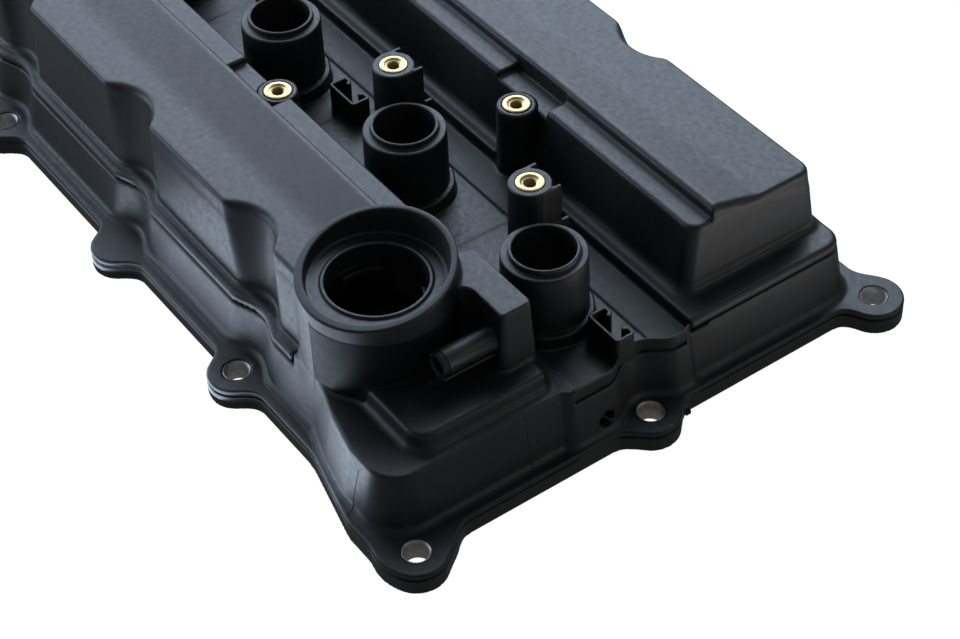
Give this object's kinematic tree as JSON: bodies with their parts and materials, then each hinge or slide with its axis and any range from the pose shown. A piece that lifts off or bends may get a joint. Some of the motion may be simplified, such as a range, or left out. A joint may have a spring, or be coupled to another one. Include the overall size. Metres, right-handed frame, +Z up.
{
  "type": "cylinder head cover",
  "caption": "Moulded plastic cylinder head cover with plug wells, oil filler neck, breather spigots, welded separator chambers and gasket flange.",
  "frame": {"origin": "middle of the gasket face, at the middle of the overall length and width", "axes": "+X along the engine to the oil filler end, +Y to the side away from the filler, +Z up off the head"},
  "size_m": [0.459, 0.262, 0.0824],
  "materials": {
    "moulded_plastic": "semi-matt moulded black, fine grain",
    "lid_plastic": "semi-matt moulded black, fine grain",
    "baffle_plastic": "matt moulded black",
    "seal_rubber": "matt",
    "insert_brass": "satin, knurled outside",
    "sleeve_steel": "dull plated",
    "valve_plastic": "semi-matt",
    "valve_steel": "satin"
  },
  "bodies": {
    "cover": {"cover_body": "moulded_plastic", "left_chamber_lid": "lid_plastic", "right_chamber_lid": "lid_plastic", "left_baffle": "baffle_plastic", "right_baffle": "baffle_plastic", "cover_gasket": "seal_rubber", "left_trim_insert": "insert_brass", "right_trim_insert": "insert_brass", "vent_valve_housing": "valve_plastic", "vent_valve_spring": "valve_steel", "vent_valve_ring": "seal_rubber", "plug_tube_seal_1": "seal_rubber", "plug_tube_seal_2": "seal_rubber", "plug_tube_seal_3": "seal_rubber", "plug_tube_seal_4": "seal_rubber", "coil_insert_1": "insert_brass", "coil_insert_2": "insert_brass", "coil_insert_3": "insert_brass", "coil_insert_4": "insert_brass", "bolt_sleeve_1": "sleeve_steel", "bolt_sleeve_2": "sleeve_steel", "bolt_sleeve_3": "sleeve_steel", "bolt_sleeve_4": "sleeve_steel", "bolt_sleeve_5": "sleeve_steel", "bolt_sleeve_6": "sleeve_steel", "bolt_sleeve_7": "sleeve_steel", "bolt_sleeve_8": "sleeve_steel", "bolt_sleeve_9": "sleeve_steel", "bolt_sleeve_10": "sleeve_steel"},
    "plunger": {"vent_valve_plunger": "valve_steel"}
  },
  "joints": [
    {"name": "vent_valve_slide", "type": "slide", "parent": "cover", "child": "plunger", "axis": [0, 0, 1], "range_m": [0, 0.005], "stiffness_N_per_m": 60, "springref_m": -0.006, "deforming": ["vent_valve_spring"]}
  ]
}
